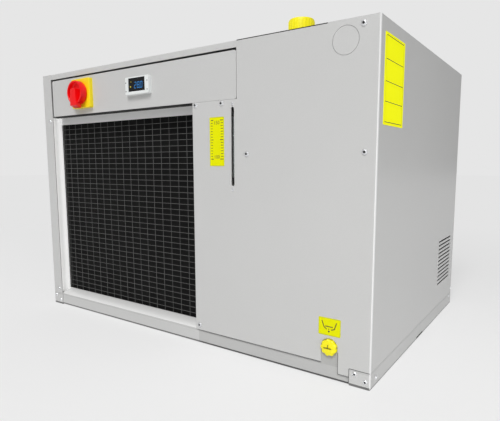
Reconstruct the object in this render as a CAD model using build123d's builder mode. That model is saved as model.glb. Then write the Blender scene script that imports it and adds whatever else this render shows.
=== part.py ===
"""Compact air-cooled water chiller: a folded sheet-metal cabinet on a rail base.

Axes: +X runs to the right along the front, +Y runs to the back, +Z is up.
The origin is on the floor, under the centre of the box round the whole chiller, with the
switch handle at the front and the water ports at the back. Sizes are in millimetres.
"""

import os
from math import cos, radians, sin

from build123d import *

os.makedirs("parts", exist_ok=True)

# Cabinet skin
cabinet_width = 850
cabinet_depth = 577
cabinet_height = 570
sheet = 2
bend_radius = 2.6
seam = 0.3
sheet_fit = 0.5
stiffener = 12
back_return = 8

# Base rails
rail_height = 27.5
rail_foot = 30
rail_lip = 10
corner_tab_width = 35
pry_notch_from_front = 264
pry_notch_width = 46
pry_notch_height = 4

# Front of the cabinet, read from the left edge, the right edge and the top
post_width = 33.2
panel_gap_left = 6.2
panel_gap_right = 1
panel_gap_top = 4
panel_height = 83.4
panel_depth = 28
panel_corner_radius = 4
lip_height = 12.2
cover_lower_width = 362
cover_upper_width = 257
cover_edge_radius = 1.5

# Condenser bay behind the front opening
recess_depth = 30
stile_inset = 10
stile_width = 12
bottom_bar_height = 8.5
header_height = 17.4
wire_width = 1.8
upright_wire_pitch = 24.45
upright_wire_margin = 4.5
cross_wire_pitch = 12
cross_wire_margin = 9
wire_overlap = 6
coil_stand_off = 5
coil_depth = 44
coil_end_margin = 14
coil_top_gap = 10
coil_plate_lip = 9

# Main switch
switch_from_left = 160.3
switch_above_panel_foot = 44.6
switch_plate_size = 65
switch_plate_thickness = 9
switch_plate_corner = 3
switch_plate_edge = 1.5
switch_body_size = 48
switch_body_depth = 24
handle_collar_radius = 20
handle_collar = 3
handle_radius = 26
handle_depth = 16.5
handle_rim_edge = 1
handle_wall = 3.5
handle_well_depth = 10
handle_well_taper = 4
grip_width = 14
grip_top = 9
grip_tail = 34
grip_tail_width = 17
grip_tail_slant = 5
grip_proud = 4
grip_taper = 3
spindle_radius = 4
spindle_fit = 0.4
handle_fit = 0.5

# Temperature controller, a standard panel size
controller_from_left = 345.7
controller_above_panel_foot = 45
controller_width = 69
controller_height = 36
controller_proud = 9
controller_corner = 3
controller_edge = 1.5
controller_body_width = 64
controller_body_height = 30
controller_body_depth = 24
display_width = 49
display_height = 27
display_lift = 2
display_recess = 1

# Level gauge behind the slot in the cover
level_slot_from_right = 266.5
level_slot_width = 7
level_slot_length = 141
level_slot_top_margin = 13.1
level_tube_radius = 5
level_tube_wall = 1
level_elbow_radius = 6.5
level_elbow_bend = 7.5
level_elbow_drop = 9

# Blanked gauge hole, drain and filler
blank_radius = 21.1
blank_gap = 0.6
blank_lip = 3
blank_from_right = 53.4
blank_below_top = 30.5
drain_from_right = 70.5
drain_height = 56
drain_arch_radius = 15
drain_skirt_gap = 1
drain_skirt_height = 14
drain_spout_radius = 9
drain_spout_bore = 6
drain_cap_radius = 13.3
drain_cap_proud = 5
drain_cap_face = 2.5
drain_cap_scallops = 8
drain_cap_scallop_radius = 4
drain_cross_length = 15
drain_cross_width = 2.4
drain_cross_depth = 1.2
drain_tab_margin = 6
filler_from_right = 157.7
filler_from_front = 53
filler_neck_radius = 18
filler_neck_bore = 14
filler_neck_height = 19
filler_cap_radius = 22.5
filler_cap_length = 25.6
filler_cap_ribs = 24
filler_cap_crown = 3
filler_cap_clearance = 3
cap_rib_proud = 0.6
cap_rib_width = 2.2
cap_edge = 1.2
cap_scallop_depth = 1
drain_cap_end_gap = 0.6
thread_fit = 0.4
seal_width = 174
seal_height = 1.6

# Vents low down in the right side
vent_count = 12
vent_pitch = 8.95
vent_length = 118
vent_height = 4
vent_lowest = 79
vent_centre_from_back = 95

# Water tank
tank_panel_gap = 2
tank_back_gap = 60
tank_right_gap = 24
tank_left_gap = 22
tank_top_gap = 48
tank_radius = 18
tank_top_radius = 4

# Fan at the back of the condenser bay
fan_height = 250
fan_radius = 170
fan_ring_depth = 60
fan_flange = 10
fan_flare = 9
hub_radius = 52
hub_length = 48
blade_count = 7
blade_tip_gap = 5
blade_root_depth = 2
blade_root_chord = 58
blade_tip_chord = 84
blade_root_angle = 40
blade_tip_angle = 24
blade_thickness = 2.6
motor_radius = 42
guard_stand_off = 12
guard_wire = 3
guard_rings = 6
guard_spokes = 8
guard_plate_radius = 48

# Fittings in the back panel
port_radius = 13.2
port_neck_radius = 12.4
port_bore = 9
port_length = 16
port_relief = 1
port_nut_flats = 36
port_nut_thickness = 8
port_height = 110
port_from_right = (110, 200)
gland_from_left = 430
gland_below_top = 52
gland_radius = 8
gland_bore = 5
gland_nut_flats = 24
gland_nut_thickness = 6
gland_dome_inset = 1
gland_dome_length = 15
gland_dome_taper = 8

# Places worked out from the sizes above
left = -cabinet_width / 2
right = cabinet_width / 2
front_reach = switch_plate_thickness + handle_fit + handle_depth + grip_proud
back_reach = port_nut_thickness + port_relief + port_length
front = front_reach - (front_reach + cabinet_depth + back_reach) / 2
back = front + cabinet_depth
middle = (front + back) / 2
top = cabinet_height
inner_left = left + sheet
inner_right = right - sheet
inner_front = front + sheet
inner_back = back - sheet
skin_foot = rail_height + seam
side_end = back - back_return

panel_left = left + post_width + panel_gap_left
panel_right = right - cover_upper_width - panel_gap_right
panel_top = top - lip_height - panel_gap_top
panel_foot = panel_top - panel_height
cover_left = right - cover_lower_width
cover_step_top = panel_foot - seam
upper_cover_left = right - cover_upper_width

deck_top = rail_height - sheet
stile_front = front + recess_depth
stile_back = stile_front + sheet
bay_left = left + stile_inset
partition_left = cover_left + sheet + coil_end_margin
mesh_left = bay_left + stile_width
mesh_right = partition_left + sheet - stile_width
mesh_foot = rail_height + bottom_bar_height
mesh_top = panel_foot - header_height
coil_front = stile_back + 2 * wire_width + coil_stand_off
coil_back = coil_front + coil_depth

switch_x = left + switch_from_left
switch_z = panel_foot + switch_above_panel_foot
plate_front = front - switch_plate_thickness
controller_x = left + controller_from_left
controller_z = panel_foot + controller_above_panel_foot

slot_x = right - level_slot_from_right
slot_top = cover_step_top - level_slot_top_margin
slot_foot = slot_top - level_slot_length
tube_y = inner_front + level_elbow_radius + 2 * seam
blank_x = right - blank_from_right
blank_z = top - blank_below_top
drain_x = right - drain_from_right
filler_x = right - filler_from_right
filler_y = front + filler_from_front

tank_left = partition_left + sheet + tank_left_gap
tank_right = right - tank_right_gap
tank_front = front + panel_depth + tank_panel_gap
tank_foot = rail_height
tank_back = back - tank_back_gap
tank_top = top - tank_top_gap

fan_x = (bay_left + partition_left) / 2
guard_face = back + sheet + guard_stand_off
port_stub = back + port_nut_thickness + port_relief

low = (Align.MIN, Align.MIN)
low_corner = (Align.MIN, Align.MIN, Align.MIN)
front_plane = Plane.XZ.offset(-front)
right_plane = Plane.YZ.offset(right)


def block(x_range, y_range, z_range, mode=Mode.ADD):
    """A plain plate or bar between two limits on each axis, in the part being built."""
    with Locations((x_range[0], y_range[0], z_range[0])):
        Box(
            x_range[1] - x_range[0],
            y_range[1] - y_range[0],
            z_range[1] - z_range[0],
            align=low_corner,
            mode=mode,
        )


def ring_plan(width, depth):
    """Plan of a skin of folded sheet: a closed ring with rounded corners."""
    with BuildSketch() as plan:
        with Locations((0, middle)):
            RectangleRounded(width, depth, bend_radius)
            RectangleRounded(
                width - 2 * sheet,
                depth - 2 * sheet,
                bend_radius - sheet,
                mode=Mode.SUBTRACT,
            )
    return plan.sketch


skin_plan = ring_plan(cabinet_width, cabinet_depth)
inner_bend = bend_radius - sheet

# Side rails: a web with a foot, a top lip and tabs folded round both corners
for side, label in ((-1, "left_rail"), (1, "right_rail")):
    with BuildPart() as side_rail:
        with BuildSketch():
            add(skin_plan)
        extrude(amount=rail_height)
        tab_end = right - corner_tab_width
        edges = sorted((side * tab_end, side * right))
        block(edges, (front, back), (0, rail_height), mode=Mode.INTERSECT)
        flange_run = (front + rail_foot + 2 * sheet, back - rail_foot - 2 * sheet)
        foot_edges = sorted((side * inner_right, side * (inner_right - rail_foot)))
        block(foot_edges, flange_run, (0, sheet))
        lip_edges = sorted((side * inner_right, side * (inner_right - rail_lip)))
        block(lip_edges, flange_run, (deck_top, rail_height))
        notch_start = front + pry_notch_from_front
        block(
            sorted((side * (inner_right - rail_foot), side * right)),
            (notch_start, notch_start + pry_notch_width),
            (0, pry_notch_height),
            mode=Mode.SUBTRACT,
        )
    side_rail.part.label = label
    export_step(side_rail.part, f"parts/{label}.step")

# Front rail: a channel open to the inside, with a tab behind the arch that holds the spout
with BuildPart() as front_rail:
    with BuildSketch(Plane.YZ) as channel:
        with Locations((inner_front, 0)):
            Rectangle(rail_foot + sheet, rail_height, align=low)
        fillet(channel.vertices().group_by(Axis.X)[0], bend_radius)
        with Locations((inner_front + sheet, sheet)):
            Rectangle(rail_foot, rail_height - 2 * sheet, align=low, mode=Mode.SUBTRACT)
    extrude(amount=inner_right - inner_bend, both=True)
    tab_half = drain_arch_radius + drain_tab_margin
    block(
        (drain_x - tab_half, drain_x + tab_half),
        (inner_front, inner_front + sheet),
        (rail_height - bend_radius, drain_height + tab_half),
    )
    with BuildSketch(Plane.XZ.offset(-inner_front)):
        with Locations((drain_x, drain_height)):
            Circle(drain_spout_radius + seam)
    extrude(amount=-sheet, mode=Mode.SUBTRACT)
front_rail.part.label = "front_rail"
export_step(front_rail.part, "parts/front_rail.step")

# Back rail: the front rail mirrored, without its tab
with BuildPart() as back_rail:
    add(front_rail.part)
    mirror(about=Plane.XZ.offset(-middle))
    block((left, right), (middle, back), (0, rail_height), mode=Mode.INTERSECT)
back_rail.part.label = "back_rail"
export_step(back_rail.part, "parts/back_rail.step")

# Floor plate under the lips of the four rails
with BuildPart() as floor_plate:
    block(
        (-inner_right, inner_right),
        (inner_front + sheet, inner_back - sheet),
        (deck_top - sheet, deck_top),
    )
floor_plate.part.label = "floor_plate"
export_step(floor_plate.part, "parts/floor_plate.step")

# Left side panel: folded round the front corner into the narrow post
with BuildPart() as left_side_panel:
    with BuildSketch(Plane.XY.offset(skin_foot)):
        add(skin_plan)
    extrude(amount=top - skin_foot)
    block(
        (left, left + post_width), (front, side_end), (0, top), mode=Mode.INTERSECT
    )
    ledge = (top - 2 * sheet, top - sheet)
    block((inner_left, inner_left + stiffener), (inner_front, side_end), ledge)
left_side_panel.part.label = "left_side_panel"
export_step(left_side_panel.part, "parts/left_side_panel.step")

# Back panel: returns round both back corners, with the fan and fitting holes
with BuildPart() as back_panel:
    with BuildSketch(Plane.XY.offset(skin_foot)):
        add(skin_plan)
    extrude(amount=top - skin_foot)
    block((left, right), (side_end + seam, back), (0, top), mode=Mode.INTERSECT)
    block(
        (inner_left + stiffener, inner_right - stiffener),
        (inner_back - stiffener, inner_back),
        (top - 2 * sheet, top - sheet),
    )
    with BuildSketch(Plane.XZ.offset(-back)):
        with Locations((fan_x, fan_height)):
            Circle(fan_radius + sheet + seam)
        for port_place in port_from_right:
            with Locations((right - port_place, port_height)):
                Circle(port_neck_radius + seam)
        with Locations((left + gland_from_left, top - gland_below_top)):
            Circle(gland_radius + seam)
    extrude(amount=sheet, mode=Mode.SUBTRACT)
back_panel.part.label = "back_panel"
export_step(back_panel.part, "parts/back_panel.step")

# Wrap cover: one sheet for the right of the front and the whole right side
with BuildPart() as wrap_cover:
    with BuildSketch(Plane.XY.offset(drain_skirt_height)):
        add(skin_plan)
    extrude(amount=top - drain_skirt_height)
    block(
        (cover_left, right), (front, side_end), (0, top), mode=Mode.INTERSECT
    )
    # Edge returns that stiffen the sheet
    block(
        (cover_left, cover_left + sheet),
        (inner_front, inner_front + stiffener),
        (skin_foot, cover_step_top),
    )
    block(
        (upper_cover_left, upper_cover_left + sheet),
        (inner_front, inner_front + stiffener),
        (cover_step_top, top - 2 * sheet),
    )
    block(
        (upper_cover_left, inner_right),
        (inner_front, inner_front + stiffener),
        (top - 2 * sheet, top - sheet),
    )
    block(
        (inner_right - stiffener, inner_right),
        (inner_front, side_end),
        (top - 2 * sheet, top - sheet),
    )
    # Step that makes room for the control panel
    block(
        (cover_left, upper_cover_left),
        (front, inner_front),
        (cover_step_top, top),
        mode=Mode.SUBTRACT,
    )
    # Lower edge: only the skirt beside the drain reaches down over the rail
    skirt_left = drain_x + drain_arch_radius
    skirt_right = right - corner_tab_width - drain_skirt_gap
    block((cover_left, skirt_left), (front, middle), (0, skin_foot), mode=Mode.SUBTRACT)
    block((skirt_right, right), (front, back), (0, skin_foot), mode=Mode.SUBTRACT)
    # Shallow rebate that holds the seal in front of the filler
    block(
        (upper_cover_left, upper_cover_left + seal_width),
        (front, inner_front),
        (top - seal_height, top),
        mode=Mode.SUBTRACT,
    )
    # Drain arch, level slot and gauge hole
    with BuildSketch(front_plane):
        with Locations((drain_x, drain_height)):
            Circle(drain_arch_radius)
        with Locations((drain_x, 0)):
            Rectangle(
                2 * drain_arch_radius,
                drain_height,
                align=(Align.CENTER, Align.MIN),
            )
        with Locations((slot_x, (slot_top + slot_foot) / 2)):
            SlotOverall(level_slot_length, level_slot_width, rotation=90)
        with Locations((blank_x, blank_z)):
            Circle(blank_radius + blank_gap)
    extrude(amount=-sheet, mode=Mode.SUBTRACT)
    # Row of vents in the side
    vent_middle = vent_lowest + (vent_count - 1) * vent_pitch / 2
    with BuildSketch(right_plane):
        with Locations((back - vent_centre_from_back, vent_middle)):
            with GridLocations(vent_length, vent_pitch, 1, vent_count):
                SlotOverall(vent_length, vent_height)
    extrude(amount=-sheet, mode=Mode.SUBTRACT)
    outer_edges = wrap_cover.edges().filter_by(Axis.Z).filter_by_position(
        Axis.Y, front, front
    )
    fillet(outer_edges.group_by(Axis.X)[0], cover_edge_radius)
wrap_cover.part.label = "wrap_cover"
export_step(wrap_cover.part, "parts/wrap_cover.step")

# Top cover: a plate inside the skin, folded down into the front lip
with BuildPart() as top_cover:
    lip_left = left + post_width + seam
    lip_right = upper_cover_left - seam
    with BuildSketch(Plane.YZ.offset(lip_left)) as lip_section:
        with Locations((front, top - lip_height)):
            Rectangle(stiffener + sheet, lip_height, align=low)
        fillet(
            lip_section.vertices().group_by(Axis.X)[0].sort_by(Axis.Y)[-1],
            bend_radius,
        )
        with Locations((inner_front, top - lip_height)):
            Rectangle(stiffener, lip_height - sheet, align=low, mode=Mode.SUBTRACT)
    extrude(amount=lip_right - lip_left)
    with BuildSketch(Plane.XY.offset(top - sheet)):
        with Locations((0, middle)):
            RectangleRounded(
                cabinet_width - 2 * (sheet + seam),
                cabinet_depth - 2 * (sheet + seam),
                inner_bend,
            )
    extrude(amount=sheet)
    with BuildSketch(Plane.XY.offset(top)):
        with Locations((filler_x, filler_y)):
            Circle(filler_neck_radius + seam)
    extrude(amount=-sheet, mode=Mode.SUBTRACT)
top_cover.part.label = "top_cover"
export_step(top_cover.part, "parts/top_cover.step")

# Rubber seal in the cover's rebate
with BuildPart() as filler_seal:
    block(
        (upper_cover_left + seam, upper_cover_left + seal_width - seam),
        (front + seam, inner_front),
        (top - seal_height, top),
    )
filler_seal.part.label = "filler_seal"
export_step(filler_seal.part, "parts/filler_seal.step")

# Control panel: a shallow pan with rounded corners, open at the back
with BuildPart() as control_panel:
    with BuildSketch(front_plane):
        with Locations(((panel_left + panel_right) / 2, (panel_foot + panel_top) / 2)):
            RectangleRounded(
                panel_right - panel_left, panel_height, panel_corner_radius
            )
    extrude(amount=-panel_depth)
    offset(
        amount=-sheet, openings=control_panel.faces().sort_by(Axis.Y)[-1]
    )
    with BuildSketch(front_plane):
        with Locations((switch_x, switch_z)):
            Circle(spindle_radius + spindle_fit)
        with Locations((controller_x, controller_z)):
            Rectangle(
                controller_body_width + 2 * seam, controller_body_height + 2 * seam
            )
    extrude(amount=-sheet, mode=Mode.SUBTRACT)
control_panel.part.label = "control_panel"
export_step(control_panel.part, "parts/control_panel.step")

# Frame of the condenser opening: left stile, header and bottom bar
with BuildPart() as left_stile:
    block((bay_left, mesh_left), (stile_front, stile_back), (rail_height, panel_foot))
    block((bay_left - sheet, bay_left), (inner_front, stile_back), (rail_height, panel_foot))
left_stile.part.label = "left_stile"
export_step(left_stile.part, "parts/left_stile.step")

with BuildPart() as bay_header:
    block((mesh_left, mesh_right), (stile_front, stile_back), (mesh_top, panel_foot))
bay_header.part.label = "bay_header"
export_step(bay_header.part, "parts/bay_header.step")

with BuildPart() as bottom_bar:
    block((mesh_left, mesh_right), (stile_front, stile_back), (rail_height, mesh_foot))
bottom_bar.part.label = "bottom_bar"
export_step(bottom_bar.part, "parts/bottom_bar.step")

# Partition between the condenser bay and the water side, flanged as the right stile
with BuildPart() as partition:
    block(
        (mesh_right, partition_left + sheet),
        (stile_front, stile_back),
        (rail_height, panel_foot),
    )
    block(
        (partition_left, partition_left + sheet),
        (stile_back, inner_back),
        (rail_height, panel_foot),
    )
partition.part.label = "partition"
export_step(partition.part, "parts/partition.step")

# Shelf that closes the bay on top and carries the electrics
with BuildPart() as electrics_shelf:
    block(
        (inner_left + sheet_fit, partition_left),
        (stile_back, inner_back - sheet_fit),
        (panel_foot - sheet, panel_foot),
    )
electrics_shelf.part.label = "electrics_shelf"
export_step(electrics_shelf.part, "parts/electrics_shelf.step")

# Welded wire guard: a layer of upright wires with a layer of cross wires behind it
first_upright = mesh_left + upright_wire_margin
upright_room = mesh_right - wire_width - first_upright
upright_wires = int(upright_room // upright_wire_pitch) + 1
with BuildPart() as guard_upright_wires:
    with BuildSketch(Plane.XY.offset(mesh_foot - wire_overlap)):
        with Locations((first_upright, stile_back + wire_width / 2)):
            with GridLocations(
                upright_wire_pitch, 0, upright_wires, 1, align=(Align.MIN, Align.CENTER)
            ):
                Rectangle(wire_width, wire_width)
    extrude(amount=mesh_top - mesh_foot + 2 * wire_overlap)
guard_upright_wires.part.label = "guard_upright_wires"
export_step(guard_upright_wires.part, "parts/guard_upright_wires.step")

first_cross = mesh_foot + cross_wire_margin
cross_room = mesh_top - cross_wire_margin / 2 - first_cross
cross_wires = int(cross_room // cross_wire_pitch) + 1
with BuildPart() as guard_cross_wires:
    with BuildSketch(Plane.YZ.offset(mesh_left - wire_overlap)):
        with Locations((stile_back + wire_width + wire_width / 2, first_cross)):
            with GridLocations(
                0, cross_wire_pitch, 1, cross_wires, align=(Align.CENTER, Align.MIN)
            ):
                Rectangle(wire_width, wire_width)
    extrude(amount=mesh_right - mesh_left + 2 * wire_overlap)
guard_cross_wires.part.label = "guard_cross_wires"
export_step(guard_cross_wires.part, "parts/guard_cross_wires.step")

# Condenser: a block of fins between two folded end plates that stand on the floor
coil_left = bay_left + coil_end_margin
coil_right = partition_left - coil_end_margin
coil_top = panel_foot - sheet - coil_top_gap
with BuildPart() as condenser_fins:
    block(
        (coil_left, coil_right), (coil_front, coil_back), (deck_top, coil_top)
    )
condenser_fins.part.label = "condenser_fins"
export_step(condenser_fins.part, "parts/condenser_fins.step")

for side, coil_edge, label in (
    (-1, coil_left, "condenser_end_plate_left"),
    (1, coil_right, "condenser_end_plate_right"),
):
    with BuildPart() as end_plate:
        web = sorted((coil_edge, coil_edge + side * sheet))
        lip = sorted((coil_edge + side * sheet, coil_edge + side * coil_plate_lip))
        block(web, (coil_front, coil_back), (deck_top, coil_top))
        for lip_front in (coil_front, coil_back - sheet):
            block(lip, (lip_front, lip_front + sheet), (deck_top, coil_top))
    end_plate.part.label = label
    export_step(end_plate.part, f"parts/{label}.step")

# Fan ring: a throat with a flange on the back panel and a flared mouth inside
with BuildPart() as fan_ring:
    with BuildSketch(Plane.YZ.offset(fan_x)) as ring_section:
        mouth = back - fan_ring_depth
        with BuildLine():
            Polyline(
                (mouth, fan_height + fan_radius + fan_flare + sheet),
                (mouth, fan_height + fan_radius + fan_flare),
                (mouth + fan_flare, fan_height + fan_radius),
                (back + sheet, fan_height + fan_radius),
                (back + sheet, fan_height + fan_radius + fan_flange),
                (back, fan_height + fan_radius + fan_flange),
                (back, fan_height + fan_radius + sheet),
                (mouth + fan_flare + sheet, fan_height + fan_radius + sheet),
                close=True,
            )
        make_face()
    revolve(axis=Axis((fan_x, 0, fan_height), (0, 1, 0)))
fan_ring.part.label = "fan_ring"
export_step(fan_ring.part, "parts/fan_ring.step")

# Fan rotor: a hub with twisted blades
hub_front = back - fan_ring_depth
hub_back = hub_front + hub_length
hub_plane = Plane(
    origin=(fan_x, hub_front, fan_height), x_dir=(1, 0, 0), z_dir=(0, 1, 0)
)
with BuildPart() as fan_rotor:
    with BuildSketch(hub_plane):
        Circle(hub_radius)
    extrude(amount=hub_length)
    blade_root = hub_radius - blade_root_depth
    blade_tip = fan_radius - blade_tip_gap
    blade_middle = hub_front + hub_length / 2
    for number in range(blade_count):
        turn = number * 360 / blade_count
        outward = Vector(cos(radians(turn)), 0, sin(radians(turn)))
        sections = []
        for reach, chord, angle in (
            (blade_root, blade_root_chord, blade_root_angle),
            (blade_tip, blade_tip_chord, blade_tip_angle),
        ):
            centre = Vector(fan_x, blade_middle, fan_height) + outward * reach
            tangent = Vector(-sin(radians(turn)), 0, cos(radians(turn)))
            along = tangent * cos(radians(angle)) + Vector(0, sin(radians(angle)), 0)
            with BuildSketch(Plane(origin=centre, x_dir=along, z_dir=outward)) as section:
                Rectangle(chord, blade_thickness)
            sections.append(section.sketch)
        loft(sections)
fan_rotor.part.label = "fan_rotor"
export_step(fan_rotor.part, "parts/fan_rotor.step")

# Fan motor between the hub and the guard's centre plate
with BuildPart() as fan_motor:
    with BuildSketch(Plane.XZ.offset(-hub_back)):
        with Locations((fan_x, fan_height)):
            Circle(motor_radius)
    extrude(amount=-(guard_face - hub_back))
fan_motor.part.label = "fan_motor"
export_step(fan_motor.part, "parts/fan_motor.step")

# Fan guard: flat spokes round a plate, on feet that stand on the ring's flange
guard_reach = fan_radius + fan_flange / 2
guard_plane = Plane(
    origin=(fan_x, guard_face, fan_height), x_dir=(1, 0, 0), z_dir=(0, 1, 0)
)
with BuildPart() as fan_guard_spokes:
    with BuildSketch(guard_plane):
        Circle(guard_plate_radius)
        with PolarLocations(0, guard_spokes):
            Rectangle(guard_reach, guard_wire, align=(Align.MIN, Align.CENTER))
    extrude(amount=guard_wire)
fan_guard_spokes.part.label = "fan_guard_spokes"
export_step(fan_guard_spokes.part, "parts/fan_guard_spokes.step")

with BuildPart() as fan_guard_feet:
    with BuildSketch(guard_plane):
        with PolarLocations(guard_reach - guard_wire, guard_spokes):
            Rectangle(guard_wire, guard_wire, align=(Align.MIN, Align.CENTER))
    extrude(amount=-guard_stand_off)
fan_guard_feet.part.label = "fan_guard_feet"
export_step(fan_guard_feet.part, "parts/fan_guard_feet.step")

# Rings welded on the spokes
ring_pitch = (guard_reach - guard_wire - guard_plate_radius) / guard_rings
with BuildPart() as fan_guard_rings:
    with BuildSketch(guard_plane.offset(guard_wire)):
        for number in range(guard_rings):
            ring_radius = guard_reach - number * ring_pitch
            Circle(ring_radius)
            Circle(ring_radius - guard_wire, mode=Mode.SUBTRACT)
    extrude(amount=guard_wire)
fan_guard_rings.part.label = "fan_guard_rings"
export_step(fan_guard_rings.part, "parts/fan_guard_rings.step")

# Water tank: a moulded body that stands on the floor plate
with BuildPart() as water_tank:
    block((tank_left, tank_right), (tank_front, tank_back), (tank_foot, tank_top))
    fillet(water_tank.edges().filter_by(Axis.Z), tank_radius)
    fillet(water_tank.faces().sort_by(Axis.Z)[-1].edges(), tank_top_radius)
water_tank.part.label = "water_tank"
export_step(water_tank.part, "parts/water_tank.step")

# Filler neck from the tank through the top cover
neck_top = top + filler_neck_height
with BuildPart() as filler_neck:
    with BuildSketch(Plane.XY.offset(tank_top)):
        with Locations((filler_x, filler_y)):
            Circle(filler_neck_radius)
            Circle(filler_neck_bore, mode=Mode.SUBTRACT)
    extrude(amount=neck_top - tank_top)
filler_neck.part.label = "filler_neck"
export_step(filler_neck.part, "parts/filler_neck.step")

# Filler cap: a ribbed cup that turns on the neck
cap_foot = top + filler_cap_clearance
with BuildPart() as filler_cap:
    with BuildSketch(Plane.XY.offset(cap_foot)):
        with Locations((filler_x, filler_y)):
            Circle(filler_cap_radius - cap_rib_proud)
    extrude(amount=filler_cap_length)
    fillet(filler_cap.faces().sort_by(Axis.Z)[-1].edges(), cap_edge)
    with BuildSketch(Plane.XY.offset(cap_foot)):
        with Locations((filler_x, filler_y)):
            with PolarLocations(filler_cap_radius - cap_rib_width, filler_cap_ribs):
                Rectangle(cap_rib_width, cap_rib_width, align=(Align.MIN, Align.CENTER))
    extrude(amount=filler_cap_length - cap_edge)
    with BuildSketch(Plane.XY.offset(cap_foot)):
        with Locations((filler_x, filler_y)):
            Circle(filler_neck_radius + thread_fit)
    extrude(amount=filler_cap_length - filler_cap_crown, mode=Mode.SUBTRACT)
filler_cap.part.label = "filler_cap"
export_step(filler_cap.part, "parts/filler_cap.step")

# Level tube seen through the slot, held by an elbow at each end
elbow_heights = (slot_foot + level_elbow_radius, slot_top - level_elbow_radius)
for direction, height, label in (
    (1, elbow_heights[0], "level_elbow_lower"),
    (-1, elbow_heights[1], "level_elbow_upper"),
):
    with BuildPart() as level_elbow:
        with BuildLine() as elbow_path:
            FilletPolyline(
                (slot_x, tank_front, height),
                (slot_x, tube_y, height),
                (slot_x, tube_y, height + direction * level_elbow_drop),
                radius=level_elbow_bend,
            )
        with BuildSketch(Plane.XZ.offset(-tank_front)):
            with Locations((slot_x, height)):
                Circle(level_elbow_radius)
        sweep()
    level_elbow.part.label = label
    export_step(level_elbow.part, f"parts/{label}.step")

tube_foot = elbow_heights[0] + level_elbow_drop
tube_head = elbow_heights[1] - level_elbow_drop
with BuildPart() as level_tube:
    with BuildSketch(Plane.XY.offset(tube_foot)):
        with Locations((slot_x, tube_y)):
            Circle(level_tube_radius)
            Circle(level_tube_radius - level_tube_wall, mode=Mode.SUBTRACT)
    extrude(amount=tube_head - tube_foot)
level_tube.part.label = "level_tube"
export_step(level_tube.part, "parts/level_tube.step")

# Round blank flush in the gauge hole, with a lip behind the sheet
with BuildPart() as gauge_blank:
    with BuildSketch(front_plane):
        with Locations((blank_x, blank_z)):
            Circle(blank_radius)
    extrude(amount=-sheet)
    with BuildSketch(front_plane.offset(-sheet)):
        with Locations((blank_x, blank_z)):
            Circle(blank_radius + blank_lip)
    extrude(amount=-sheet)
gauge_blank.part.label = "gauge_blank"
export_step(gauge_blank.part, "parts/gauge_blank.step")

# Drain spout from the foot of the tank to the arch in the cover
cap_front = front - drain_cap_proud
with BuildPart() as drain_spout:
    with BuildSketch(Plane.XZ.offset(-tank_front)):
        with Locations((drain_x, drain_height)):
            Circle(drain_spout_radius)
            Circle(drain_spout_bore, mode=Mode.SUBTRACT)
    extrude(amount=tank_front - cap_front - drain_cap_face - drain_cap_end_gap)
drain_spout.part.label = "drain_spout"
export_step(drain_spout.part, "parts/drain_spout.step")

# Drain cap: a cup with a scalloped rim that turns on the spout
with BuildPart() as drain_cap:
    cap_plane = Plane.XZ.offset(-cap_front)
    with BuildSketch(cap_plane):
        with Locations((drain_x, drain_height)):
            Circle(drain_cap_radius)
            scallop_centre = drain_cap_radius + drain_cap_scallop_radius - cap_scallop_depth
            with PolarLocations(scallop_centre, drain_cap_scallops):
                Circle(drain_cap_scallop_radius, mode=Mode.SUBTRACT)
    cap_length = drain_cap_proud + sheet - seam
    extrude(amount=-cap_length)
    with BuildSketch(cap_plane):
        with Locations((drain_x, drain_height)):
            Rectangle(drain_cross_length, drain_cross_width)
            Rectangle(drain_cross_width, drain_cross_length)
    extrude(amount=-drain_cross_depth, mode=Mode.SUBTRACT)
    with BuildSketch(cap_plane.offset(-drain_cap_face)):
        with Locations((drain_x, drain_height)):
            Circle(drain_spout_radius + thread_fit)
    extrude(amount=-cap_length, mode=Mode.SUBTRACT)
drain_cap.part.label = "drain_cap"
export_step(drain_cap.part, "parts/drain_cap.step")

# Main switch: mounting plate and turning handle
with BuildPart() as switch_plate:
    with BuildSketch(front_plane):
        with Locations((switch_x, switch_z)):
            RectangleRounded(switch_plate_size, switch_plate_size, switch_plate_corner)
    extrude(amount=switch_plate_thickness)
    fillet(switch_plate.faces().sort_by(Axis.Y)[0].edges(), switch_plate_edge)
    with BuildSketch(front_plane):
        with Locations((switch_x, switch_z)):
            Circle(spindle_radius + spindle_fit)
    extrude(amount=switch_plate_thickness, mode=Mode.SUBTRACT)
switch_plate.part.label = "switch_plate"
export_step(switch_plate.part, "parts/switch_plate.step")

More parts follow.
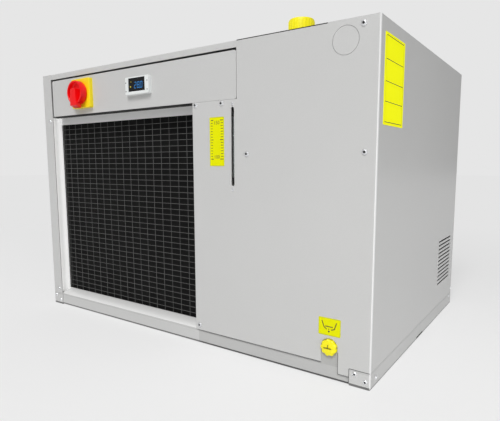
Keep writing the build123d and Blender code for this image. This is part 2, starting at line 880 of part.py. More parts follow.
handle_plane = Plane(
    origin=(switch_x, plate_front - handle_fit, switch_z),
    x_dir=(1, 0, 0),
    z_dir=(0, -1, 0),
)
grip_back = plate_front - handle_fit - handle_depth + handle_well_depth
grip_front = plate_front - handle_fit - handle_depth - grip_proud
with BuildPart() as switch_handle:
    # Drum on a narrower collar
    with BuildSketch(handle_plane.offset(handle_collar)):
        Circle(handle_radius)
    extrude(amount=handle_depth - handle_collar)
    fillet(switch_handle.faces().sort_by(Axis.Y)[0].edges(), handle_rim_edge)
    with BuildSketch(handle_plane):
        Circle(handle_collar_radius)
    extrude(amount=handle_collar)
    # Finger well round the grip
    with BuildSketch(handle_plane.offset(handle_depth)):
        Circle(handle_radius - handle_wall)
    extrude(amount=-handle_well_depth, taper=handle_well_taper, mode=Mode.SUBTRACT)
    # Grip ridge that runs from above the middle to past the lower rim
    with BuildSketch(handle_plane.offset(handle_depth - handle_well_depth)):
        with BuildLine():
            Polyline(
                (-grip_width / 2, grip_top),
                (grip_width / 2, grip_top),
                (grip_tail_width / 2, -grip_tail),
                (-grip_tail_width / 2, -grip_tail),
                close=True,
            )
        make_face()
    extrude(amount=handle_well_depth + grip_proud, taper=grip_taper)
    # The tail ends in a slant that leans back to its lowest edge
    with BuildSketch(Plane.YZ.offset(switch_x)):
        with BuildLine():
            Polyline(
                (grip_back, switch_z - grip_tail),
                (grip_front, switch_z - grip_tail),
                (grip_front, switch_z - grip_tail + grip_tail_slant),
                close=True,
            )
        make_face()
    extrude(amount=grip_tail_width, both=True, mode=Mode.SUBTRACT)
switch_handle.part.label = "switch_handle"
export_step(switch_handle.part, "parts/switch_handle.step")

with BuildPart() as switch_spindle:
    with BuildSketch(handle_plane):
        Circle(spindle_radius)
    extrude(amount=-(handle_fit + switch_plate_thickness + panel_depth))
switch_spindle.part.label = "switch_spindle"
export_step(switch_spindle.part, "parts/switch_spindle.step")

# Switch body on the back of the control panel, round the spindle
with BuildPart() as switch_body:
    with BuildSketch(front_plane.offset(-sheet)):
        with Locations((switch_x, switch_z)):
            Rectangle(switch_body_size, switch_body_size)
            Circle(spindle_radius + spindle_fit, mode=Mode.SUBTRACT)
    extrude(amount=-switch_body_depth)
switch_body.part.label = "switch_body"
export_step(switch_body.part, "parts/switch_body.step")

# Temperature controller: bezel with a recessed window, and its body behind
with BuildPart() as controller_bezel:
    with BuildSketch(front_plane):
        with Locations((controller_x, controller_z)):
            RectangleRounded(controller_width, controller_height, controller_corner)
    extrude(amount=controller_proud)
    fillet(controller_bezel.faces().sort_by(Axis.Y)[0].edges(), controller_edge)
    with BuildSketch(front_plane.offset(controller_proud)):
        with Locations((controller_x, controller_z + display_lift)):
            Rectangle(display_width, display_height)
    extrude(amount=-2 * display_recess, mode=Mode.SUBTRACT)
    with BuildSketch(front_plane):
        with Locations((controller_x, controller_z)):
            Rectangle(controller_body_width, controller_body_height)
    extrude(amount=-controller_body_depth)
controller_bezel.part.label = "controller_bezel"
export_step(controller_bezel.part, "parts/controller_bezel.step")

with BuildPart() as controller_display:
    with BuildSketch(front_plane.offset(controller_proud - 2 * display_recess)):
        with Locations((controller_x, controller_z + display_lift)):
            Rectangle(display_width, display_height)
    extrude(amount=display_recess)
controller_display.part.label = "controller_display"
export_step(controller_display.part, "parts/controller_display.step")

# Water ports: threaded stubs from the tank through the back panel, with their nuts
for port_place, label in zip(port_from_right, ("water_inlet", "water_outlet")):
    port_x = right - port_place
    with BuildPart() as water_port:
        with BuildSketch(Plane.XZ.offset(-tank_back)):
            with Locations((port_x, port_height)):
                Circle(port_neck_radius)
                Circle(port_bore, mode=Mode.SUBTRACT)
        extrude(amount=tank_back - port_stub)
        with BuildSketch(Plane.XZ.offset(-port_stub)):
            with Locations((port_x, port_height)):
                Circle(port_radius)
                Circle(port_bore, mode=Mode.SUBTRACT)
        extrude(amount=-port_length)
    water_port.part.label = label
    export_step(water_port.part, f"parts/{label}.step")

    with BuildPart() as port_nut:
        with BuildSketch(Plane.XZ.offset(-back)):
            with Locations((port_x, port_height)):
                RegularPolygon(port_nut_flats / 2, 6, major_radius=False)
                Circle(port_neck_radius + seam, mode=Mode.SUBTRACT)
        extrude(amount=-port_nut_thickness)
    port_nut.part.label = f"{label}_nut"
    export_step(port_nut.part, f"parts/{label}_nut.step")

# Gland for the supply cable
gland_place = (left + gland_from_left, top - gland_below_top)
with BuildPart() as cable_gland:
    with BuildSketch(Plane.XZ.offset(-back)):
        with Locations(gland_place):
            RegularPolygon(gland_nut_flats / 2, 6, major_radius=False)
    extrude(amount=-gland_nut_thickness)
    with BuildSketch(Plane.XZ.offset(-back - gland_nut_thickness)):
        with Locations(gland_place):
            Circle(gland_nut_flats / 2 - gland_dome_inset)
    extrude(amount=-gland_dome_length, taper=gland_dome_taper)
    with BuildSketch(Plane.XZ.offset(-inner_back)):
        with Locations(gland_place):
            Circle(gland_radius)
    extrude(amount=-sheet)
    with BuildSketch(Plane.XZ.offset(-inner_back)):
        with Locations(gland_place):
            Circle(gland_bore)
    extrude(
        amount=-(sheet + gland_nut_thickness + gland_dome_length), mode=Mode.SUBTRACT
    )
cable_gland.part.label = "cable_gland"
export_step(cable_gland.part, "parts/cable_gland.step")
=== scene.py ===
# %% [markdown]
# This lesson dresses a finished solid model of an air-cooled water chiller: a grey sheet-metal
# cabinet with a wire-guarded condenser, a red turning switch and two yellow screw caps.
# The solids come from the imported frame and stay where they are. We only give them finishes,
# and build in Blender the pieces that a plain solid shows too coarsely.

# %% Load the frame
import math

import bmesh
import bpy
from mathutils import Matrix, Vector


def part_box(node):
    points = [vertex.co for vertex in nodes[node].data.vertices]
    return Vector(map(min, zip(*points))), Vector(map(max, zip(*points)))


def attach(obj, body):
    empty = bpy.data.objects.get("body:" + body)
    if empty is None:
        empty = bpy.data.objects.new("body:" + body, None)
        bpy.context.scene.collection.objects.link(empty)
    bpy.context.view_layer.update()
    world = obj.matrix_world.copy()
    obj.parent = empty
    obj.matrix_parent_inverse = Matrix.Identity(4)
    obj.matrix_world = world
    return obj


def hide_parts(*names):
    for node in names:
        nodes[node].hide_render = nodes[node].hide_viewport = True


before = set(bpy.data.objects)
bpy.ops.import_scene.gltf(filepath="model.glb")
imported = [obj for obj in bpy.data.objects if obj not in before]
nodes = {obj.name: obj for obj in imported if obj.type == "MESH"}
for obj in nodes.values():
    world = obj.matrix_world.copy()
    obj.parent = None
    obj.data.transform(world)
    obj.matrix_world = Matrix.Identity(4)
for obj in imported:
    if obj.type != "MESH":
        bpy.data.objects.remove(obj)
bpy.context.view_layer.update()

MM = 0.001
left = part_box("left_side_panel")[0].x
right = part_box("wrap_cover")[1].x
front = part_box("control_panel")[0].y
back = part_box("back_panel")[1].y
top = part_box("top_cover")[1].z
print(f"cabinet {right - left:.3f} wide, {back - front:.3f} deep, {top:.3f} high, {len(nodes)} nodes")

# %% [markdown]
# The camera stands in front of the cabinet and past its right side, at about three fifths of its
# height, and looks slightly down. A view is three things: where the camera is, how it is turned,
# and how wide its lens is. We keep its place as distances from the cabinet's front left edge, so
# that it follows if the cabinet is moved in the frame.

# %% Camera
eye = Vector((left + 1.09166, front - 0.67339, 0.35624))
turn_left, look_down, roll = math.radians(34.603), math.radians(7.183), math.radians(-0.125)
lens = bpy.data.cameras.new("camera")
lens.sensor_width = 36
lens.lens = 33.349
lens.shift_x = -0.00564
lens.shift_y = 0.02322
camera = bpy.data.objects.new("camera", lens)
aim = Matrix.Rotation(turn_left, 4, "Z") @ Matrix.Rotation(math.pi / 2 - look_down, 4, "X")
camera.matrix_world = Matrix.Translation(eye) @ aim @ Matrix.Rotation(roll, 4, "Z")
bpy.context.scene.collection.objects.link(camera)
bpy.context.scene.camera = camera
print("camera stands at", tuple(round(v, 3) for v in eye))

# %% [markdown]
# A procedural finish is a small sum: noise times a strength, one colour mixed with another.
# Wiring such sums by hand hides them. So one small class lets Python's own signs work on a
# socket, and one method adds every other kind of node. Settings are put in before the sockets,
# because a node's settings decide which sockets it has.

# %% A socket that understands plus, minus and times
class Signal:
    def __init__(self, finish, socket):
        self.finish = finish
        self.socket = socket

    def worked(self, operation, first, second):
        return self.finish.add("ShaderNodeMath", {"operation": operation}, {0: first, 1: second})

    def __add__(self, other):
        return self.worked("ADD", self, other)

    def __sub__(self, other):
        return self.worked("SUBTRACT", self, other)

    def __rsub__(self, other):
        return self.worked("SUBTRACT", other, self)

    def __mul__(self, other):
        return self.worked("MULTIPLY", self, other)


# %% A finish: one material and the nodes it is made of
def colour(red, green, blue):
    """A colour given as a picture shows it, 0 to 255, as the light values a shader works in."""
    def light(value):
        share = value / 255
        return share / 12.92 if share <= 0.04045 else ((share + 0.055) / 1.055) ** 2.4
    return (light(red), light(green), light(blue), 1.0)


class Finish:
    def __init__(self, name):
        self.material = bpy.data.materials.new(name)
        self.material.use_nodes = True
        self.tree = self.material.node_tree
        self.tree.nodes.clear()

    def add(self, kind, settings=None, sockets=None, give=0):
        node = self.tree.nodes.new(kind)
        for key, value in (settings or {}).items():
            if key == "stops":
                for number, (stop, shade) in enumerate(value):
                    elements = node.color_ramp.elements
                    if number >= len(elements):
                        elements.new(stop)
                    elements[number].position = stop
                    elements[number].color = shade
            else:
                setattr(node, key, value)
        for key, value in (sockets or {}).items():
            if isinstance(value, Signal):
                self.tree.links.new(value.socket, node.inputs[key])
            else:
                node.inputs[key].default_value = value
        return Signal(self, node.outputs[give]) if node.outputs else None

    def place(self):
        return self.add("ShaderNodeTexCoord", give="Object")

    def noise(self, scale, detail=2.0, where=None):
        where = where or self.place()
        settings = {"noise_dimensions": "3D"}
        sockets = {"Vector": where, "Scale": scale, "Detail": detail}
        return self.add("ShaderNodeTexNoise", settings, sockets)

    def blend(self, mask, first, second):
        settings = {"data_type": "RGBA", "clamp_factor": True}
        return self.add("ShaderNodeMix", settings, {0: mask, 6: first, 7: second}, give=2)

    def bump(self, height, depth, strength):
        sockets = {"Height": height, "Distance": depth, "Strength": strength}
        return self.add("ShaderNodeBump", None, sockets)

    def surface(self, **sockets):
        named = {key.replace("_", " "): value for key, value in sockets.items()}
        body = self.add("ShaderNodeBsdfPrincipled", None, named)
        self.add("ShaderNodeOutputMaterial", None, {"Surface": body})
        return self.material


print("a mid grey of 128 is", round(colour(128, 128, 128)[0], 3), "in light")

# %% [markdown]
# The object stands in a plain pale studio. A wide floor takes its soft shadow, and the world is
# an even dome of light, so that every grey renders about as it is written. Rays that come
# straight from the camera or through clear plastic see a paler backdrop instead.

# %% Floor
FLOOR_GLOW, GLOW_STRENGTH = 0.56, 0.98
NEAR_LINE, FAR_LINE = front - 0.25, back + 0.45
FADE_START, FADE_END = 0.75, 2.0


def ground_finish():
    ground = Finish("floor_paint")
    where = ground.place()
    away = ground.add("ShaderNodeSeparateXYZ", None, {0: where}, give="Y")
    far = ground.add("ShaderNodeMapRange", {"interpolation_type": "SMOOTHSTEP"},
                     {"Value": away, "From Min": NEAR_LINE, "From Max": FAR_LINE})
    speckle = ground.noise(6.0)
    tone = ground.blend(speckle * 0.02, colour(238, 238, 238), colour(225, 225, 225))
    paint = ground.add("ShaderNodeBsdfDiffuse", None, {"Color": tone})
    lit = ground.blend(far, colour(247, 247, 247), colour(239, 239, 239))
    spread = ground.add("ShaderNodeVectorMath", {"operation": "LENGTH"}, {0: where}, give="Value")
    fade = ground.add("ShaderNodeMapRange", {"interpolation_type": "SMOOTHSTEP"},
                      {"Value": spread, "From Min": FADE_START, "From Max": FADE_END})
    lit = ground.blend(fade, lit, colour(230, 230, 230))
    glow = ground.add("ShaderNodeEmission", None, {"Color": lit, "Strength": GLOW_STRENGTH})
    seen = ground.add("ShaderNodeLightPath", give="Is Camera Ray")
    mirrored = ground.add("ShaderNodeLightPath", give="Is Glossy Ray")
    share = (fade * (1 - FLOOR_GLOW) + FLOOR_GLOW) * (seen + mirrored)
    mixed = ground.add("ShaderNodeMixShader", None, {0: share, 1: paint, 2: glow})
    ground.add("ShaderNodeOutputMaterial", None, {"Surface": mixed})
    return ground.material


def floor():
    shape = bmesh.new()
    bmesh.ops.create_grid(shape, x_segments=1, y_segments=1, size=14.0)
    mesh = bpy.data.meshes.new("floor")
    shape.to_mesh(mesh)
    shape.free()
    mesh.materials.append(ground_finish())
    ground = bpy.data.objects.new("floor", mesh)
    bpy.context.scene.collection.objects.link(ground)


floor()
print("floor laid")


# %% Sky and lamps
def sky(dome, mirrored, backdrop):
    """An even dome of light, with its own tone in reflections and behind the object."""
    world = bpy.data.worlds.new("studio")
    bpy.context.scene.world = world
    world.use_nodes = True
    tree = world.node_tree
    tree.nodes.clear()
    output = tree.nodes.new("ShaderNodeOutputWorld")
    shell = tree.nodes.new("ShaderNodeBackground")
    path = tree.nodes.new("ShaderNodeLightPath")
    either = tree.nodes.new("ShaderNodeMath")
    either.operation = "MAXIMUM"
    tones = []
    for tone in (mirrored, backdrop):
        mix = tree.nodes.new("ShaderNodeMix")
        mix.data_type = "RGBA"
        mix.inputs[7].default_value = tone
        tones.append(mix)
    tones[0].inputs[6].default_value = dome
    tree.links.new(path.outputs["Is Glossy Ray"], tones[0].inputs[0])
    tree.links.new(tones[0].outputs[2], tones[1].inputs[6])
    tree.links.new(path.outputs["Is Camera Ray"], either.inputs[0])
    tree.links.new(path.outputs["Is Transmission Ray"], either.inputs[1])
    tree.links.new(either.outputs[0], tones[1].inputs[0])
    tree.links.new(tones[1].outputs[2], shell.inputs["Color"])
    tree.links.new(shell.outputs[0], output.inputs["Surface"])


def lamp(name, place, target, size, watts):
    light = bpy.data.lights.new(name, "AREA")
    light.shape = "SQUARE"
    light.size = size
    light.energy = watts
    box = bpy.data.objects.new(name, light)
    direction = Vector(target) - Vector(place)
    turn = direction.to_track_quat("-Z", "Y").to_matrix().to_4x4()
    box.matrix_world = Matrix.Translation(place) @ turn
    bpy.context.scene.collection.objects.link(box)


sky(colour(156, 156, 156), colour(156, 156, 156), colour(230, 230, 230))
lamp("key_lamp", (1.9, -5.4, 6.5), (0, 0, 0.3), 3.2, 474)
lamp("fill_lamp", (1.2, -0.55, 0.08), (0.42, -0.1, 0.12), 0.5, 1.7)
bpy.context.scene.view_settings.view_transform = "Standard"
print("one dome and", len(bpy.data.lights), "lamps")

# %% [markdown]
# The cabinet is powder coated: paint that is sprayed on dry and baked. Close to, it is not flat
# but like the skin of an orange, with waves one or two millimetres apart and a few hundredths
# high. Its tone drifts very little. One function makes every such coat from its colour. From the
# place alone it can also paint light and shade into the colour: a paler painted highlight along
# the upright fold, a dark painted shadow line where a rail stands on the floor, faint painted
# shade above the rail's seam line and below the cover, and a painted glow for coats in shade.

# %% Powder coat
FOLD_ACROSS, FOLD_DEEP = 1.1 * MM, 5.0 * MM
# Sizes and strengths of the painted shadow on the rails.
FOOT_LINE, FOOT_LINE_SIDE, SEAM_LINE = 4.0 * MM, 1.7 * MM, 24.0 * MM
COVER_START, COVER_END, SIDE_SKIN = 69 * MM, 390 * MM, 0.6 * MM
FOOT_SHADE, SEAM_SHADE, COVER_SHADE = 0.75, 0.1, 0.15


def compare(coat, value, limit):
    return coat.add("ShaderNodeMath", {"operation": "GREATER_THAN"}, {0: value, 1: limit})


def fold_highlight_mask(coat, across, deep):
    """One at the upright fold between the front and the right side, where a highlight is painted."""
    return compare(coat, across, right - FOLD_ACROSS) * compare(coat, front + FOLD_DEEP, deep)


def foot_shadow_mask(coat, across, height):
    """One where shadow is painted: along the floor, thinner at the side, fainter at the seam and below
    the cover.
    """
    at_side = compare(coat, across, right - SIDE_SKIN)
    limit = at_side * (FOOT_LINE_SIDE - FOOT_LINE) + FOOT_LINE
    line = 1 - compare(coat, height - limit, 0.0)
    below_cover = compare(coat, across, COVER_START) * (1 - compare(coat, across, COVER_END))
    seam = compare(coat, height, SEAM_LINE)
    return line * FOOT_SHADE + seam * SEAM_SHADE + below_cover * COVER_SHADE


def powder_coat(name, shade, drift=0.035, roughness=0.42, peel=0.06 * MM, gloss=0.0,
                folded=False, foot=False, glow=0.0):
    coat = Finish(name)
    broad = coat.noise(2.6, 3.0)
    grain = coat.noise(420.0, 1.0)
    waves = coat.noise(620.0, 2.0)
    darker = tuple(value * (1 - drift) for value in shade[:3]) + (1.0,)
    lighter = tuple(min(value * (1 + drift), 1.0) for value in shade[:3]) + (1.0,)
    tone = coat.blend((broad - 0.5) * 1.2 + (grain - 0.5) * 0.7 + 0.5, darker, lighter)
    across, deep, height = (coat.add("ShaderNodeSeparateXYZ", None, {0: coat.place()}, give=axis)
                            for axis in "XYZ")
    # Painted highlight: the coat is made paler along the upright fold.
    if folded:
        tone = coat.blend(fold_highlight_mask(coat, across, deep) * 0.8, tone, colour(250, 250, 250))
    # Painted shadow: a dark line at the floor, faint shade above the seam line and below the cover.
    if foot:
        tone = coat.blend(foot_shadow_mask(coat, across, height), tone, colour(36, 36, 36))
    return coat.surface(
        Base_Color=tone,
        Roughness=(broad - 0.5) * 0.12 + (grain - 0.5) * 0.08 + roughness,
        Normal=coat.bump(waves, peel, 0.6),
        Specular_IOR_Level=0.4,
        Coat_Weight=gloss,
        Coat_Roughness=0.16,
        # A glow here is painted light, not a lamp.
        Emission_Color=tone,
        Emission_Strength=glow,
    )


# The cabinet and rail coats get the painted fold highlight, and the rail coat the painted foot shadow.
skin_coat = powder_coat("skin_coat", colour(201, 201, 200), gloss=0.26, folded=True)
rail_coat = powder_coat("rail_coat", colour(202, 202, 201), drift=0.04, folded=True, foot=True)
# Painted light: a paler copy of the cabinet coat, so the shaded header and partition read brighter.
bay_coat = powder_coat("bay_coat", colour(238, 238, 237), drift=0.04, roughness=0.4)
# Painted light: the sill and stile coats are paler copies of the cabinet coat and glow, so the shaded
# bay reads bright.
sill_coat = powder_coat("sill_coat", colour(216, 216, 215), drift=0.03, roughness=0.4, glow=0.12)
stile_coat = powder_coat("stile_coat", colour(236, 236, 235), drift=0.04, roughness=0.4, glow=0.44)
wire_coat = powder_coat("wire_coat", colour(104, 104, 103), drift=0.12, roughness=0.5, peel=0.02 * MM)
fin_coat = powder_coat("fin_coat", colour(34, 34, 34), drift=0.2, roughness=0.55, peel=0.01 * MM)
print("coats ready")

# %% [markdown]
# Bare metal is bright steel under a thin zinc layer. The zinc grows in flat crystals a few
# millimetres wide, each with its own tone, so a cell pattern drives both tone and roughness.
# Brass fittings are smoother and only cloud a little where they are dulled.

# %% Zinc, brass and copper
CRYSTALS, ZINC_ROUGHNESS = 160.0, 0.34


def zinc(name, shade):
    plate = Finish(name)
    crystal = plate.add("ShaderNodeTexVoronoi", {"feature": "F1"},
                        {"Vector": plate.place(), "Scale": CRYSTALS}, give="Color")
    grey = plate.add("ShaderNodeSeparateColor", None, {0: crystal}, give=0)
    cloud = plate.noise(30.0, 4.0)
    darker = tuple(value * 0.82 for value in shade[:3]) + (1.0,)
    return plate.surface(
        Base_Color=plate.blend(grey * 0.6 + cloud * 0.4, darker, shade),
        Roughness=grey * 0.14 + cloud * 0.1 + (ZINC_ROUGHNESS - 0.12),
        Metallic=1.0,
        Normal=plate.bump(cloud, 0.03 * MM, 0.4),
    )


def bright_metal(name, bright, dull, roughness):
    metal = Finish(name)
    cloud = metal.noise(45.0, 4.0)
    brushed = metal.noise(1200.0, 1.0)
    return metal.surface(
        Base_Color=metal.blend((cloud - 0.35) * 1.8, bright, dull),
        Roughness=cloud * 0.2 + brushed * 0.06 + roughness,
        Metallic=1.0,
        Normal=metal.bump(brushed, 0.01 * MM, 0.5),
    )


zinc_steel = zinc("zinc_steel", colour(205, 207, 209))
screw_steel = bright_metal("screw_steel", colour(246, 247, 249), colour(222, 223, 225), 0.3)
brass = bright_metal("brass", colour(214, 186, 120), colour(168, 138, 84), 0.2)
copper = bright_metal("copper", colour(178, 112, 84), colour(104, 66, 52), 0.3)
print("metals ready")

# %% [markdown]
# Moulded plastic has an even colour, because the dye is all through it, but its skin is never
# a mirror: the mould leaves a fine satin texture, and handling polishes it unevenly. So the
# colour hardly drifts while the roughness does, with a texture of about a third of a millimetre.

# %% Moulded plastics, rubber, film and ink
def moulded(name, shade, roughness, texture=0.03 * MM, drift=0.05, **fixed):
    plastic = Finish(name)
    cloud = plastic.noise(26.0, 3.0)
    satin = plastic.noise(2600.0, 1.0)
    darker = tuple(value * (1 - drift) for value in shade[:3]) + (1.0,)
    # A given emission is painted light, coloured like the plastic.
    if "Emission_Strength" in fixed:
        fixed["Emission_Color"] = plastic.blend(cloud * 0.3, shade, darker)
    return plastic.surface(
        Base_Color=plastic.blend((cloud - 0.3) * 2.0, shade, darker),
        Roughness=cloud * 0.16 + satin * 0.06 + (roughness - 0.1),
        Normal=plastic.bump(satin, texture, 0.5),
        **fixed,
    )


red_plastic = moulded("red_plastic", colour(250, 6, 12), 0.3, drift=0.06)
yellow_plate = moulded("yellow_plate", colour(255, 230, 22), 0.36, drift=0.03)
cap_yellow = moulded("cap_yellow", colour(255, 243, 10), 0.4, drift=0.05)
black_plastic = moulded("black_plastic", colour(32, 32, 33), 0.4)
white_plastic = moulded("white_plastic", colour(232, 235, 234), 0.3, drift=0.03)
tank_plastic = moulded("tank_plastic", colour(226, 227, 220), 0.45, drift=0.06)
window_plastic = moulded("window_plastic", colour(12, 14, 18), 0.16, texture=0.004 * MM, drift=0.2)
# Black rubber for the filler seal; the same black is painted shade in recesses, hollows, under the
# panel and in the notch.
rubber_and_painted_shade = moulded("rubber_and_painted_shade", colour(30, 30, 30), 0.7, texture=0.08 * MM, drift=0.2)
# Painted shadow: the grey of the lap gaps.
gap_shadow_grey = moulded("gap_shadow_grey", colour(112, 112, 112), 0.8, texture=0.08 * MM, drift=0.2)
# Painted light: both films glow a little, the side one more, so the yellow on the shaded side reads as
# bright as on the front.
label_film = moulded("label_film", colour(229, 230, 0), 0.5, drift=0.02, texture=0.01 * MM,
                     Specular_IOR_Level=0.1, Emission_Strength=0.03)
side_film_glow = moulded("side_film_glow", colour(252, 253, 0), 0.5, drift=0.02, texture=0.01 * MM,
                     Specular_IOR_Level=0.05, Emission_Strength=0.17)
print("plastics ready")


def printed_ink(name, shade):
    ink = Finish(name)
    fibre = ink.noise(1500.0, 2.0)
    paler = tuple(value * 1.5 + 0.01 for value in shade[:3]) + (1.0,)
    return ink.surface(Base_Color=ink.blend((fibre - 0.4) * 1.5, shade, paler),
                       Roughness=fibre * 0.2 + 0.4)


# Olive ink for the print; the same colour is painted shadow over the drain cap's coin slot.
olive_ink_and_shade = printed_ink("olive_ink_and_shade", colour(104, 96, 24))
ink_border = printed_ink("ink_border", colour(150, 150, 40))
ink_grey = printed_ink("ink_grey", colour(120, 121, 122))


def lit_segments(name, shade, strength):
    lamp_film = Finish(name)
    glow = lamp_film.noise(900.0, 1.0)
    return lamp_film.surface(
        Base_Color=lamp_film.blend(glow * 0.3, shade, colour(8, 20, 26)),
        Roughness=glow * 0.1 + 0.3,
        Emission_Color=lamp_film.blend(glow * 0.25, shade, colour(20, 60, 80)),
        Emission_Strength=strength,
    )


lit_blue = lit_segments("lit_blue", colour(44, 132, 206), 0.55)
lit_amber = lit_segments("lit_amber", colour(176, 158, 40), 0.35)


def clear_plastic(name):
    tube = Finish(name)
    haze = tube.noise(60.0, 3.0)
    return tube.surface(Base_Color=tube.blend(haze * 0.5, colour(226, 232, 232), colour(190, 200, 200)),
                        Roughness=haze * 0.15 + 0.06, Transmission_Weight=0.85, IOR=1.46)


clear_tube = clear_plastic("clear_tube")
print(len(bpy.data.materials), "materials so far")

# %% [markdown]
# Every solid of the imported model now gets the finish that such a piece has. The lists below
# group them as a spray shop and a stores shelf would.

# %% Finishes of the solids
finish_of = {
    skin_coat: ["back_panel", "left_side_panel", "wrap_cover", "top_cover", "control_panel",
                "gauge_blank", "electrics_shelf"],
    rail_coat: ["front_rail", "back_rail", "left_rail", "right_rail", "fan_ring"],
    bay_coat: ["partition", "bay_header"],
    sill_coat: ["bottom_bar"],
    stile_coat: ["left_stile"],
    zinc_steel: ["floor_plate", "switch_spindle"],
    wire_coat: ["guard_upright_wires", "guard_cross_wires", "fan_guard_spokes", "fan_guard_rings",
                "fan_guard_feet"],
    fin_coat: ["condenser_fins", "condenser_end_plate_left", "condenser_end_plate_right"],
    black_plastic: ["fan_rotor", "fan_motor", "switch_body", "cable_gland", "drain_spout",
                    "level_elbow_lower", "level_elbow_upper"],
    tank_plastic: ["water_tank", "filler_neck"],
    cap_yellow: ["filler_cap", "drain_cap"],
    yellow_plate: ["switch_plate"],
    red_plastic: ["switch_handle"],
    white_plastic: ["controller_bezel"],
    window_plastic: ["controller_display"],
    clear_tube: ["level_tube"],
    rubber_and_painted_shade: ["filler_seal"],
    brass: ["water_inlet", "water_outlet", "water_inlet_nut", "water_outlet_nut"],
}
for finish, names in finish_of.items():
    for name in names:
        mesh = nodes[name].data
        mesh.materials.clear()
        mesh.materials.append(finish)
print(sum(len(names) for names in finish_of.values()), "of", len(nodes), "solids finished")

# %% [markdown]
# New pieces are shaped on the bench, lying face up round the bench's own centre, in millimetres,
# and are then carried to their side of the cabinet. Working flat keeps the numbers plain, and
# one matrix does the carrying. Long strips and wires are made at their place. The place ends up
# in the mesh either way, so the object stays at the origin.

# %% From the bench to the cabinet
SIDES = {
    "front": ((1, 0, 0), (0, 0, 1), (0, -1, 0)),
    "right": ((0, 1, 0), (0, 0, 1), (1, 0, 0)),
    "back": ((-1, 0, 0), (0, 0, 1), (0, 1, 0)),
    "left": ((0, -1, 0), (0, 0, 1), (-1, 0, 0)),
    "top": ((1, 0, 0), (0, 1, 0), (0, 0, 1)),
}


def carry(side, place):
    turn = Matrix(SIDES[side]).transposed().to_4x4()
    return Matrix.Translation(place) @ turn @ Matrix.Scale(MM, 4)


def front_place(x, z, proud=0.0):
    """A place on the front, from x and z in millimetres."""
    return Vector((x * MM, front - proud * MM, z * MM))


def side_place(behind_front, z, proud=0.0):
    """A place on the right side, from the distance behind the front and z."""
    return Vector((right + proud * MM, front + behind_front * MM, z * MM))


def make_piece(shape, name, finish, body="cabinet", stands_for=(), smooth=30):
    """Turns a finished bmesh into a piece of the chiller that rides on one of its bodies."""
    mesh = bpy.data.meshes.new(name)
    shape.to_mesh(mesh)
    shape.free()
    mesh.materials.append(finish)
    if smooth:
        mesh.shade_smooth()
        mesh.set_sharp_from_angle(angle=math.radians(smooth))
    piece = bpy.data.objects.new(name, mesh)
    bpy.context.scene.collection.objects.link(piece)
    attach(piece, body)
    if stands_for:
        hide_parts(*stands_for)
    print(name, len(mesh.polygons), "faces")


# %% Shapes that are made again and again
WELD = 0.0005


def ease(shape, edges, reach, steps):
    """Rounds some edges of a shape."""
    bmesh.ops.bevel(shape, geom=edges, offset=reach, segments=steps, affect="EDGES", profile=0.5,
                    material=-1)


def sweep_round(shape, section, steps):
    """Turns a section once round the bench's upright axis and closes it."""
    bmesh.ops.spin(shape, geom=section, cent=(0, 0, 0), axis=(0, 0, 1), dvec=(0, 0, 0),
                   angle=math.tau, steps=steps, use_merge=True, use_duplicate=False)
    bmesh.ops.remove_doubles(shape, verts=shape.verts, dist=WELD)
    bmesh.ops.recalc_face_normals(shape, faces=shape.faces)
    return shape


def slab(width, height, thick, corner=0.0, edge=0.0, centre=(0.0, 0.0), foot=0.0):
    """A plate that lies on the bench, with rounded corners and an eased top edge."""
    shape = bmesh.new()
    bmesh.ops.create_cube(shape, size=1.0, matrix=Matrix.Diagonal((width, height, thick, 1.0)))
    if corner:
        upright = [e for e in shape.edges if abs(e.verts[0].co.z - e.verts[1].co.z) > thick / 2]
        ease(shape, upright, corner, 6)
    if edge:
        rim = [e for e in shape.edges if min(v.co.z for v in e.verts) > 0]
        ease(shape, rim, edge, 3)
    bmesh.ops.translate(shape, verts=shape.verts, vec=(centre[0], centre[1], foot + thick / 2))
    return shape


def turned(outline, steps=48):
    """A piece turned on a lathe: an outline of radius and height, from axis to axis or closed."""
    shape = bmesh.new()
    points = [shape.verts.new((radius, 0.0, height)) for radius, height in outline]
    edges = [shape.edges.new(pair) for pair in zip(points, points[1:])]
    return sweep_round(shape, points + edges, steps)


def rod(start, end, radius, sides=10):
    """A round bar between two points."""
    start, end = Vector(start), Vector(end)
    along = end - start
    turn = along.to_track_quat("Z", "Y").to_matrix().to_4x4()
    shape = bmesh.new()
    bmesh.ops.create_cone(shape, cap_ends=True, segments=sides, radius1=radius, radius2=radius,
                          depth=along.length, matrix=Matrix.Translation((start + end) / 2) @ turn)
    return shape


def hoop(radius, wire, height):
    """A wire ring round the bench's centre."""
    shape = bmesh.new()
    section = Matrix.Translation((radius, 0, height)) @ Matrix.Rotation(math.pi / 2, 4, "X")
    made = bmesh.ops.create_circle(shape, segments=8, radius=wire, matrix=section)
    return sweep_round(shape, made["verts"] + list(shape.edges), 72)


